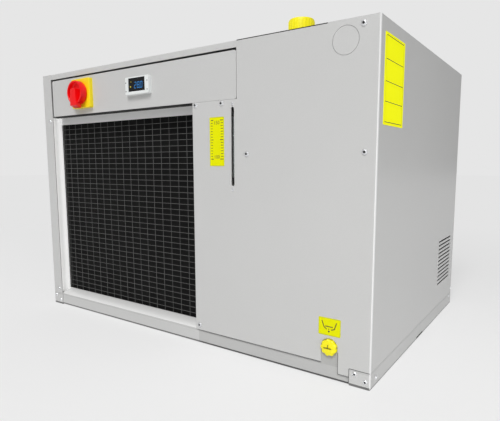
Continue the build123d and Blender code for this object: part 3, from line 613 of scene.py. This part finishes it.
def quarter_round(start, end, reach):
    """A strip with the section of a quarter ellipse, its straight sides at the back and below."""
    start, end, reach = Vector(start), Vector(end), Vector(reach)
    run = (end - start).length
    upright = abs(end.z - start.z) > abs(end.x - start.x)
    shape = bmesh.new()
    bmesh.ops.create_cone(shape, cap_ends=True, segments=48, radius1=1.0, radius2=1.0, depth=run)
    if upright:
        bmesh.ops.scale(shape, vec=(reach.x, reach.y, 1.0), verts=shape.verts)
        planes = ((-1, 0, 0), (0, 1, 0))
    else:
        bmesh.ops.transform(shape, matrix=Matrix.Rotation(math.pi / 2, 4, "Y"), verts=shape.verts)
        bmesh.ops.scale(shape, vec=(1.0, reach.y, reach.z), verts=shape.verts)
        planes = ((0, 0, -1), (0, 1, 0))
    for normal in planes:
        everything = shape.verts[:] + shape.edges[:] + shape.faces[:]
        bmesh.ops.bisect_plane(shape, geom=everything, dist=0.0001, plane_co=(0, 0, 0),
                               plane_no=normal, clear_outer=True)
        bmesh.ops.holes_fill(shape, edges=[e for e in shape.edges if e.is_boundary], sides=0)
    bmesh.ops.translate(shape, verts=shape.verts, vec=(start + end) / 2)
    bmesh.ops.recalc_face_normals(shape, faces=shape.faces)
    return shape


def block_between(low, high):
    """A plain bar between two corners."""
    low, high = Vector(low), Vector(high)
    shape = bmesh.new()
    bmesh.ops.create_cube(shape, size=1.0, matrix=Matrix.Diagonal((*(high - low), 1.0)))
    bmesh.ops.translate(shape, verts=shape.verts, vec=(low + high) / 2)
    return shape


def together(shapes):
    """Several bench shapes as one."""
    whole = bmesh.new()
    for shape in shapes:
        mesh = bpy.data.meshes.new("part")
        shape.to_mesh(mesh)
        shape.free()
        whole.from_mesh(mesh)
        bpy.data.meshes.remove(mesh)
    return whole


def stamped(template, matrices):
    """The same shape set down once for every matrix."""
    mesh = bpy.data.meshes.new("stamp")
    template.to_mesh(mesh)
    template.free()
    whole = bmesh.new()
    for matrix in matrices:
        copy = mesh.copy()
        copy.transform(matrix)
        whole.from_mesh(copy)
        bpy.data.meshes.remove(copy)
    bpy.data.meshes.remove(mesh)
    return whole


def cut_away(shape, cutter):
    """The first shape with the second one taken out of it."""
    solid = []
    for part, name in ((shape, "kept"), (cutter, "cutter")):
        mesh = bpy.data.meshes.new(name)
        part.to_mesh(mesh)
        part.free()
        thing = bpy.data.objects.new(name, mesh)
        bpy.context.scene.collection.objects.link(thing)
        solid.append(thing)
    cut = solid[0].modifiers.new("recess", "BOOLEAN")
    cut.object = solid[1]
    cut.operation = "DIFFERENCE"
    cut.solver = "EXACT"
    cut.use_self = True
    view = bpy.context.evaluated_depsgraph_get()
    made = bmesh.new()
    made.from_mesh(bpy.data.meshes.new_from_object(solid[0].evaluated_get(view)))
    for thing in solid:
        bpy.data.objects.remove(thing)
    return made


def carried(shape, side, place):
    bmesh.ops.transform(shape, matrix=carry(side, place), verts=shape.verts)
    return shape


def in_metres(shape):
    """A shape that was made at its place in millimetres, brought to the frame's metres."""
    bmesh.ops.scale(shape, vec=(MM, MM, MM), verts=shape.verts)
    return shape


print("bench ready")

# %% [markdown]
# The condenser sits behind a welded guard: upright wires in front, cross wires welded behind
# them. The solids have square bars there. Round wires catch the light in a thin line, so the
# guard is made again from rods half as thick, placed between the edges of the solids.

# %% Wire guard of the condenser
UPRIGHT_PITCH, CROSS_PITCH = 24.45, 12.0
ROUND_SHARE = 0.5


def wire_row(node, upright, pitch):
    low, high = (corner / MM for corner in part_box(node))
    radius = (high.y - low.y) / 2 * ROUND_SHARE
    middle = (high.y + low.y) / 2
    start, end = (low.x, high.x) if upright else (low.z, high.z)
    count = round((end - start - 2 * radius) / pitch) + 1
    wires = []
    for number in range(count):
        place = start + radius + number / (count - 1) * (end - start - 2 * radius)
        if upright:
            wires.append(rod((place, middle, low.z), (place, middle, high.z), radius))
        else:
            wires.append(rod((low.x, middle, place), (high.x, middle, place), radius))
    return wires


guard = together(wire_row("guard_upright_wires", True, UPRIGHT_PITCH)
                 + wire_row("guard_cross_wires", False, CROSS_PITCH))
make_piece(in_metres(guard), "condenser_guard", wire_coat,
           stands_for=("guard_upright_wires", "guard_cross_wires"))

# %% [markdown]
# A condenser is a pack of many thin fins pressed on rows of tubes. Seen at an angle the fins
# hide each other, and only their edges show as a fine comb over black. Each fin here is a box
# of six faces, because there are many of them.

# %% Fins and tubes
FIN_PITCH, FIN_THICK = 3.0, 0.5
TUBE_RADIUS, TUBE_PITCH = 4.8, 25.0
TUBE_ROWS = ((0.3, 12), (0.7, 24))


def fin_pack():
    low, high = (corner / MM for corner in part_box("condenser_fins"))
    size = high - low
    fin = bmesh.new()
    bmesh.ops.create_cube(fin, size=1.0, matrix=Matrix.Diagonal((FIN_THICK, size.y, size.z, 1.0)))
    count = int(size.x / FIN_PITCH)
    first = (size.x - (count - 1) * FIN_PITCH) / 2
    middle = (low + high) / 2
    return stamped(fin, [
        Matrix.Translation((low.x + first + number * FIN_PITCH, middle.y, middle.z))
        for number in range(count)
    ])


def tube_rows():
    low, high = (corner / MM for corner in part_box("condenser_fins"))
    tubes = []
    for depth_share, lowest in TUBE_ROWS:
        y = low.y + depth_share * (high.y - low.y)
        z = low.z + lowest
        while z < high.z - TUBE_RADIUS:
            tubes.append(rod((low.x, y, z), (high.x, y, z), TUBE_RADIUS, 12))
            z += TUBE_PITCH
    return together(tubes)


make_piece(in_metres(fin_pack()), "fin_pack", fin_coat, stands_for=("condenser_fins",),
           smooth=0)
make_piece(in_metres(tube_rows()), "condenser_tubes", copper)

# %% [markdown]
# The covers are held by button-head screws with a six-sided recess, and the folded tabs of the
# rails by blind rivets with a hollow centre. A head is a turned dome. The recess is cut from it
# once, with a boolean against a hexagon, and that one head is then set down at every place. The
# bottom of a recess or a hollow rivet lies in shade, so a small dark disc there is painted shade.

# %% One screw head and one rivet
HEAD_RADIUS, HEAD_HEIGHT, SOCKET_RADIUS, SOCKET_FLOOR = 4.6, 2.6, 2.3, 1.56
RIVET_RADIUS, RIVET_HEIGHT, RIVET_HOLE = 3.9, 1.3, 1.6
SMALL_SCREW = 0.62


def screw_head():
    head = turned([(0, HEAD_HEIGHT), (HEAD_RADIUS * 0.45, HEAD_HEIGHT * 0.96),
                   (HEAD_RADIUS * 0.8, HEAD_HEIGHT * 0.72), (HEAD_RADIUS * 0.97, HEAD_HEIGHT * 0.32),
                   (HEAD_RADIUS, 0.0), (0, 0)], steps=24)
    socket = bmesh.new()
    bmesh.ops.create_cone(socket, cap_ends=True, segments=6, radius1=SOCKET_RADIUS,
                          radius2=SOCKET_RADIUS, depth=HEAD_HEIGHT,
                          matrix=Matrix.Translation((0, 0, SOCKET_FLOOR + HEAD_HEIGHT / 2)))
    return cut_away(head, socket)


def rivet_ring():
    return turned([(RIVET_HOLE, 0.0), (RIVET_HOLE, 0.7), (1.9, RIVET_HEIGHT), (2.8, RIVET_HEIGHT),
                   (3.5, 0.6), (RIVET_RADIUS, 0.0), (RIVET_HOLE, 0.0)], steps=20)


def shade_disc(radius, height):
    return turned([(0, height), (radius, height), (radius, 0.0), (0, 0)], steps=16)


front_screws = [(400, 559.7), (406.2, 373.3), (189.3, 373.2), (71.6, 465.3), (133.9, 464.4),
                (73.4, 38.2)]
back_screws = [(x, z) for x in (-414, -140, 140, 414) for z in (44, 556)] + [(-414, 300), (414, 300)]
places = [carry("front", front_place(x, z)) for x, z in front_screws]
places += [carry("back", Vector((x * MM, back, z * MM))) for x, z in back_screws]
places += [carry("left", Vector((left, front + y * MM, z * MM)))
           for y in (60, 290, 520) for z in (60, 540)]
make_piece(stamped(screw_head(), places), "cover_screws", screw_steel)
# Painted shade: a dark disc at the bottom of every screw recess.
socket_shade_disc = shade_disc(SOCKET_RADIUS - 0.05, SOCKET_FLOOR + 0.16)
make_piece(stamped(socket_shade_disc, places), "screw_recess_shade", rubber_and_painted_shade, smooth=0)

# %% Small screws above and below the level slot
slot_screw_places = [carry("front", front_place(158.5, z)) @ Matrix.Scale(SMALL_SCREW, 4)
                     for z in (462, 309.5)]
make_piece(stamped(screw_head(), slot_screw_places), "slot_screws", screw_steel)

# %% Rivets
rivet_places = [carry("front", front_place(x, z)) for x, z in (
    (-402.5, 460), (-403.3, 39.4), (-416.8, 21.3), (-397.6, 10.7), (399.1, 21.0), (417.1, 11.8))]
rivet_places += [carry("right", side_place(y, z)) for y, z in ((27.3, 12.4), (569, 39), (554, 21.5))]
make_piece(stamped(rivet_ring(), rivet_places), "rail_rivets", screw_steel)
# Painted shade: a dark disc in the hollow of every rivet.
hollow_shade_disc = shade_disc(RIVET_HOLE + 0.05, 0.35)
make_piece(stamped(hollow_shade_disc, rivet_places), "rivet_hollow_shade", rubber_and_painted_shade, smooth=0)

# %% [markdown]
# The guard sits in a frame with rolled edges: at the left and along the foot the sheet curves
# from the cabinet's front back to the wires. A quarter of an elliptic bar makes such an edge.
# Above the guard a black foam strip is painted shade in the shaded gap below the control panel,
# and the notch in the right rail, made for lifting the cabinet, is closed by a dark rubber pad
# that is painted shade for its dark inside.

# %% Rolled edges, and a dark strip and pad as painted shade
stile_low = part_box("left_stile")[0] / MM
bar_low, bar_high = (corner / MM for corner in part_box("bottom_bar"))
panel_low, panel_high = (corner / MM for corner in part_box("control_panel"))
EDGE_REACH, EDGE_OVERLAP, SHEET = 14.0, 3.0, 2.0
SILL_START, SILL_REACH = 33.6, 27.0
stile_face = bar_low.y
wall_face = stile_low.x + SHEET
# The rolled edges take these glowing coats, which is painted light.
upright_edge = quarter_round((wall_face, stile_face, bar_low.z + 0.5),
                             (wall_face, stile_face, panel_low.z - 2.0),
                             (bar_low.x - wall_face + EDGE_OVERLAP, EDGE_REACH, 0))
make_piece(in_metres(upright_edge), "rolled_stile", stile_coat, smooth=40)
foot_edge = quarter_round((left / MM + SILL_START, stile_face, bar_low.z),
                          (bar_high.x, stile_face, bar_low.z),
                          (0, SILL_REACH, bar_high.z - bar_low.z))
make_piece(in_metres(foot_edge), "rolled_sill", sill_coat, smooth=40)

FOAM_HEIGHT, FOAM_SET_BACK, COVER_LEFT = 1.0, 1.4, 63.0
NOTCH_START, NOTCH_WIDTH, NOTCH_PLAY = 264, 46, 0.3
# Painted shade: a dark strip in the shadow under the panel, and a dark pad in the notch.
shade_strip = block_between((panel_low.x + 1.5, panel_low.y + FOAM_SET_BACK, panel_low.z - FOAM_HEIGHT),
                     (COVER_LEFT - 0.6, panel_high.y - 1.0, panel_low.z - 0.05))
notch = front / MM + NOTCH_START
shade_pad = block_between((right / MM - 1.9, notch + NOTCH_PLAY, 0.1),
                    (right / MM - 0.1, notch + NOTCH_WIDTH - NOTCH_PLAY, 3.8))
make_piece(in_metres(together([shade_strip, shade_pad])), "shade_strip_and_pad", rubber_and_painted_shade, smooth=0)

# %% [markdown]
# Three printed films are stuck on the cabinet: a ruled plate on the right side, a scale beside
# the level slot and a drain sign over the drain. Each film is a slab a quarter of a millimetre
# thick with rounded corners, and the print is a set of still thinner strokes on it: plain rules,
# marks with numbers, and a sign.

# %% Film and strokes
FILM = 0.25
INK = 0.06


def stroke(start, end, width, foot=FILM):
    """A printed line between two points of a label, in millimetres from its lower left corner."""
    start, end = Vector((*start, 0.0)), Vector((*end, 0.0))
    along = end - start
    shape = slab(along.length + width * 0.2, width, INK, foot=foot)
    turn = Matrix.Rotation(math.atan2(along.y, along.x), 4, "Z")
    bmesh.ops.transform(shape, matrix=Matrix.Translation((start + end) / 2) @ turn, verts=shape.verts)
    return shape


def border(width, height, inset, line):
    near, far = (inset, inset), (width - inset, height - inset)
    across, up = (far[0], inset), (inset, far[1])
    return [stroke(near, across, line), stroke(up, far, line),
            stroke(near, up, line), stroke(across, far, line)]


def words(text, size, centre):
    """Plain figures as a flat mesh. The text is made a mesh first, and only then moved."""
    curve = bpy.data.curves.new("figures", "FONT")
    curve.body = text
    curve.size = size
    curve.align_x = "CENTER"
    curve.align_y = "CENTER"
    curve.extrude = INK / 2
    thing = bpy.data.objects.new("figures", curve)
    bpy.context.scene.collection.objects.link(thing)
    view = bpy.context.evaluated_depsgraph_get()
    mesh = bpy.data.meshes.new_from_object(thing.evaluated_get(view))
    bpy.data.objects.remove(thing)
    shape = bmesh.new()
    shape.from_mesh(mesh)
    bmesh.ops.translate(shape, verts=shape.verts, vec=(*centre, FILM + INK / 2))
    return shape


def film(width, height):
    return slab(width, height, FILM, corner=2.0, centre=(width / 2, height / 2))


# %% Ruled plate on the right side
plate_width, plate_height = 95.5, 135.5
plate_corner = side_place(21.5, 414.5)
rule_ends, rule_heights = (6.7, 89), (131.5, 97.5, 65, 35, 4.5)
rules = [stroke((rule_ends[0], z), (rule_ends[1], z), 1.2) for z in rule_heights]
rules += [stroke((x, rule_heights[-1]), (x, rule_heights[0]), 0.6) for x in rule_ends]
make_piece(carried(film(plate_width, plate_height), "right", plate_corner), "side_film", side_film_glow)
make_piece(carried(together(rules), "right", plate_corner), "side_film_rules", olive_ink_and_shade,
           smooth=0)

# %% Scale beside the level slot
scale_width, scale_height = 34.0, 89.0
scale_corner = front_place(105.3, 352)
MARK_TOP, MARK_FOOT, MARKS = 83.3, 12.8, 15
marks = []
for number in range(MARKS):
    height = MARK_TOP - number * (MARK_TOP - MARK_FOOT) / (MARKS - 1)
    longer = 1.6 if number % 7 == 0 else 0.0
    line = 1.6 if longer else 1.2
    marks.append(stroke((3.7, height), (7.4 + longer, height), line))
    marks.append(stroke((26.4 - longer, height), (31.8, height), line))
marks.append(words("150", 9.0, (17.0, 78.5)))
marks.append(words("100", 9.0, (17.0, 16.5)))
make_piece(carried(film(scale_width, scale_height), "front", scale_corner), "level_film", label_film)
make_piece(carried(together(marks), "front", scale_corner), "level_scale", olive_ink_and_shade,
           smooth=0)
scale_border = together(border(scale_width, scale_height, 0.9, 0.5))
make_piece(carried(scale_border, "front", scale_corner), "level_film_border", ink_border,
           smooth=0)

# %% Drain sign
sign_width, sign_height = 39.5, 30.0
sign_corner = front_place(334.5, 75.5)


def sign_point(across, down):
    return (across * sign_width, (1 - down) * sign_height)


sign_lines = [((.151, .195), (.26, .546)), ((.26, .546), (.377, .649)), ((.311, .487), (.651, .492)),
              ((.585, .654), (.717, .60)), ((.717, .60), (.82, .218))]
sign = [stroke(sign_point(*a), sign_point(*b), 1.8) for a, b in sign_lines]
for across, down, radius in ((.476, .632, 1.0), (.476, .761, 1.7)):
    x, y = sign_point(across, down)
    drop = turned([(0, 0), (radius, 0), (radius, INK), (0, INK)], steps=20)
    bmesh.ops.translate(drop, verts=drop.verts, vec=(x, y, FILM))
    sign.append(drop)
make_piece(carried(film(sign_width, sign_height), "front", sign_corner), "drain_film", label_film)
make_piece(carried(together(sign), "front", sign_corner), "drain_sign", olive_ink_and_shade,
           smooth=0)
sign_border = together(border(sign_width, sign_height, 0.8, 0.5))
make_piece(carried(sign_border, "front", sign_corner), "drain_film_border", ink_border,
           smooth=0)

# %% [markdown]
# The controller is a standard panel instrument: a white bezel, a dark window and four small
# keys. Each digit on it is made of up to seven slanted bars, lit from behind as on the real
# display, so those bars get a little emission of their own.

# %% Digits
SEGMENTS = {"0": "abcdef", "2": "abdeg", "8": "abcdefg"}
BARS = {
    "a": ((0, 2), (1, 2)), "b": ((1, 2), (1, 1)), "c": ((1, 1), (1, 0)), "d": ((0, 0), (1, 0)),
    "e": ((0, 0), (0, 1)), "f": ((0, 1), (0, 2)), "g": ((0, 1), (1, 1)),
}


DIGIT_WIDTH, DIGIT_HEIGHT, DIGIT_PITCH, DIGIT_LINE, SLANT = 5.2, 11.6, 8.8, 0.8, 0.1
FIRST_DIGIT, DIGIT_FOOT = 17.0, 6.5


def digit(figure, x, y):
    bars = []
    for name in SEGMENTS[figure]:
        ends = []
        for across, up in BARS[name]:
            rise = up * DIGIT_HEIGHT / 2
            ends.append((x + across * DIGIT_WIDTH + rise * SLANT, y + rise))
        bars.append(stroke(*ends, DIGIT_LINE, foot=0.0))
    return bars


display_low, display_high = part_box("controller_display")
display_corner = Vector(display_low)
bars = []
for number, figure in enumerate("280"):
    bars += digit(figure, FIRST_DIGIT + number * DIGIT_PITCH, DIGIT_FOOT)
bars.append(slab(1.3, 1.3, INK, centre=(32.6, 6.4)))
make_piece(carried(together(bars), "front", display_corner), "display_digits", lit_blue,
           smooth=0)
icons = together([slab(3.6, 2.8, INK, centre=(6.0, 10.0)), slab(3.0, 1.0, INK, centre=(7.5, 19.5))])
make_piece(carried(icons, "front", display_corner), "display_icons", lit_amber,
           smooth=0)

# %% Keys of the controller
bezel_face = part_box("controller_bezel")[0].y
key = turned([(0, 0.5), (1.1, 0.42), (1.4, 0.0), (0, 0)], steps=20)
KEY_ASIDE, KEY_HEIGHTS = 7.0 * MM, (1.3 * MM, 18.4 * MM)
key_places = []
for x in (display_low.x - KEY_ASIDE, display_high.x + KEY_ASIDE):
    for z in (display_low.z + height for height in KEY_HEIGHTS):
        key_places.append(carry("front", Vector((x, bezel_face, z))))
make_piece(stamped(key, key_places), "controller_keys", ink_grey)

# %% [markdown]
# The main switch is turned by a drum of red plastic with a grip across it. The solid has its
# sizes. Here the same drum is turned on the lathe with soft edges and a finger well, and the grip
# is a block whose edges are bevelled, so that it catches a line of light as the real one does.

# %% Switch handle
spindle_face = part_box("switch_spindle")[0].y
plate_low, plate_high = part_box("switch_plate")
switch_centre = (plate_low + plate_high) / 2
handle_base = Vector((switch_centre.x, spindle_face, switch_centre.z))
DRUM, COLLAR_RADIUS, COLLAR, DEEP, WELL, WALL = 26.0, 24.0, 3.0, 16.5, 10.0, 3.5
PROUD, HALF_UPPER, HALF_LOWER, TAPER = 4.0, 8.6, 11.8, 0.9
GRIP_TOP, TAIL_HIGH, TAIL_DEEP = 8.4, -28.8, -33.8


def drum():
    floor_height = DEEP - WELL
    inner = DRUM - WALL
    outline = [(0, 0), (COLLAR_RADIUS, 0), (COLLAR_RADIUS, COLLAR), (DRUM - 0.6, COLLAR),
               (DRUM, COLLAR + 0.6), (DRUM, DEEP - 1.4), (DRUM - 0.4, DEEP - 0.4), (DRUM - 1.3, DEEP),
               (inner + 0.6, DEEP), (inner, DEEP - 0.6), (inner - 0.6, floor_height + 1.2),
               (inner - 1.8, floor_height), (0, floor_height)]
    return turned(outline, steps=72)


def grip():
    """A ridge that is narrower at its face, with a tail that ends in a slant below the rim."""
    shape = bmesh.new()
    bmesh.ops.create_cube(shape, size=1.0)
    for corner in shape.verts:
        high, up = corner.co.z > 0, corner.co.y > 0
        half = HALF_UPPER if up else HALF_LOWER
        corner.co.x = math.copysign(half - (TAPER if high else 0.0), corner.co.x)
        corner.co.y = GRIP_TOP if up else (TAIL_HIGH if high else TAIL_DEEP)
        corner.co.z = DEEP + PROUD if high else DEEP - WELL
    ease(shape, list(shape.edges), 1.5, 4)
    return shape


handle = together([drum(), grip()])
make_piece(carried(handle, "front", handle_base), "switch_knob", red_plastic,
           body="switch_handle", stands_for=("switch_handle",), smooth=35)

# %% [markdown]
# Both screw caps are moulded in yellow plastic with a grip round the rim. The filler cap has
# two dozen low ribs, small rounded bars set round a turned cup. The drain cap has nine broad
# lobes and a slot for a coin.

# %% Filler cap
cap_low, cap_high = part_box("filler_cap")
cap_place = Vector(((cap_low.x + cap_high.x) / 2, (cap_low.y + cap_high.y) / 2, cap_low.z))
CAP, CAP_HEIGHT, RIBS, CAP_SKIN = 22.4, 25.6, 24, 3.2


def filler():
    cup = turned([(0, CAP_HEIGHT - 0.8), (8, CAP_HEIGHT - 0.8), (15, CAP_HEIGHT - 0.4),
                  (18.5, CAP_HEIGHT), (20.2, CAP_HEIGHT - 0.4), (21.4, CAP_HEIGHT - 1.8),
                  (21.8, CAP_HEIGHT - 4), (21.8, 0.4), (21.1, 0), (18.6, 0),
                  (18.5, CAP_HEIGHT - CAP_SKIN), (0, CAP_HEIGHT - CAP_SKIN)], steps=60)
    rib = slab(2.0, 2.4, CAP_HEIGHT - 3.5, corner=0.7, edge=0.5, centre=(CAP - 1.0, 0))
    ribs = stamped(rib, [Matrix.Rotation(math.tau * n / RIBS, 4, "Z") for n in range(RIBS)])
    return together([cup, ribs])


make_piece(carried(filler(), "top", cap_place), "filler_lid", cap_yellow,
           body="filler_cap", stands_for=("filler_cap",), smooth=35)

# %% Drain cap
drain_low, drain_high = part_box("drain_cap")
drain_middle = (drain_low + drain_high) / 2
drain_place = Vector((drain_middle.x, drain_high.y, drain_middle.z))
DRAIN_RADIUS, DRAIN_DEEP, LOBES, LOBE_RADIUS = 14.3, 6.7, 9, 3.8


def drain_star():
    """A cup with broad lobes, a coin slot in its face and a hole behind for the spout."""
    cup = turned([(0, DRAIN_DEEP), (11.0, DRAIN_DEEP), (12.4, DRAIN_DEEP - 0.8),
                  (13.0, DRAIN_DEEP - 2.0), (13.0, 0), (0, 0)], steps=40)
    lobe = turned([(0, DRAIN_DEEP - 0.3), (2.6, DRAIN_DEEP - 0.3), (3.6, DRAIN_DEEP - 1.2),
                   (LOBE_RADIUS, 0), (0, 0)], steps=20)
    reach = DRAIN_RADIUS - LOBE_RADIUS
    turns = [math.tau * (n + 0.5) / LOBES for n in range(LOBES)]
    lobes = stamped(lobe, [Matrix.Translation((reach * math.cos(a), reach * math.sin(a), 0))
                           for a in turns])
    slots = together([
        slab(12.5, 2.2, 3.0, corner=0.8, centre=(-1.5, -0.8), foot=DRAIN_DEEP - 1.4),
        slab(1.6, 5.0, 3.0, centre=(0.6, 4.2), foot=DRAIN_DEEP - 0.6),
        turned([(0, 4.2), (9.4, 4.2), (9.4, -1.0), (0, -1.0)], steps=32),
    ])
    return cut_away(together([cup, lobes]), slots)


make_piece(carried(drain_star(), "front", drain_place), "drain_star", cap_yellow,
           body="drain_cap", stands_for=("drain_cap",), smooth=35)
# Painted shadow: thin olive sheets over the mouth of the coin slot darken it.
slot_shadow_marks = together([
    slab(14.0, 1.3, 0.3, centre=(-1.0, -1.2), foot=DRAIN_DEEP - 0.05),
    slab(1.2, 6.0, 0.3, centre=(-0.6, 2.4), foot=DRAIN_DEEP - 0.05),
])
make_piece(carried(slot_shadow_marks, "front", drain_place), "drain_slot_shadow", olive_ink_and_shade,
           body="drain_cap", smooth=0)

# %% [markdown]
# Where one sheet laps another there is a dark gap: round the skirt beside the drain, round the
# folded tab at the right corner and along the foot of the cover. Thin grey strips lie in those
# gaps as painted shadow.

# %% Painted shadow in the gaps
STRIP_PROUD = 0.25
gap_runs = [
    ((369.4, 14.0), (370.4, 50.0)), ((369.5, 13.2), (389.0, 14.2)), ((390.0, 27.4), (424.4, 28.4)),
    ((389.2, 2.5), (390.2, 27.6)), ((69.5, 27.0), (339.5, 28.0)),
]
# Painted shadow: grey strips set in the gaps.
gap_shadows = together([
    block_between((x0, front / MM - STRIP_PROUD, z0), (x1, front / MM + 0.1, z1))
    for (x0, z0), (x1, z1) in gap_runs
])
make_piece(in_metres(gap_shadows), "gap_shadow_strips", gap_shadow_grey, smooth=0)

# %% [markdown]
# The back is plain: a fan behind a wire guard, two threaded ports and a cable gland. The guard's
# solids are flat rings. Welded guards are made of round wire, so each ring is a hoop here. The
# ports get their thread, as grooves turned with the pitch of a three-quarter inch pipe thread.

# %% Round hoops of the fan guard
hoops_low, hoops_high = (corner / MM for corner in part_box("fan_guard_rings"))
HOOP_WIRE, HOOP_PITCH, HOOPS = 1.5, 20.667, 6
outer_hoop = (hoops_high.x - hoops_low.x) / 2 - HOOP_WIRE
hoops_middle = (hoops_low + hoops_high) / 2
hoop_place = Vector((hoops_middle.x, hoops_low.y, hoops_middle.z)) * MM
hoops = together([hoop(outer_hoop - n * HOOP_PITCH, HOOP_WIRE, HOOP_WIRE) for n in range(HOOPS)])
make_piece(carried(hoops, "back", hoop_place), "fan_guard_hoops", wire_coat,
           stands_for=("fan_guard_rings",), smooth=60)

# %% Threads of the water ports
THREAD_PITCH, THREAD_DEEP, BORE, NECK, CREST = 1.814, 0.9, 9.0, 12.4, 13.2
STUB_LENGTH = 16.0


def threaded_stub(length):
    outline = [(BORE, 0), (NECK, 0), (NECK, length - STUB_LENGTH)]
    height = length - STUB_LENGTH
    while height + THREAD_PITCH < length - 1.2:
        outline += [(CREST - THREAD_DEEP, height + 0.1), (CREST, height + THREAD_PITCH * 0.45),
                    (CREST, height + THREAD_PITCH * 0.6)]
        height += THREAD_PITCH
    root = CREST - THREAD_DEEP
    outline += [(root, height + 0.2), (root - 0.2, length - 0.3), (root - 0.6, length),
                (BORE + 0.6, length), (BORE, length - 0.6), (BORE, 0)]
    return turned(outline)


for port in ("water_inlet", "water_outlet"):
    port_low, port_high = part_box(port)
    place = Vector(((port_low.x + port_high.x) / 2, port_low.y, (port_low.z + port_high.z) / 2))
    stub = threaded_stub((port_high.y - port_low.y) / MM)
    make_piece(carried(stub, "back", place), f"{port}_thread", brass,
               stands_for=(port,), smooth=40)
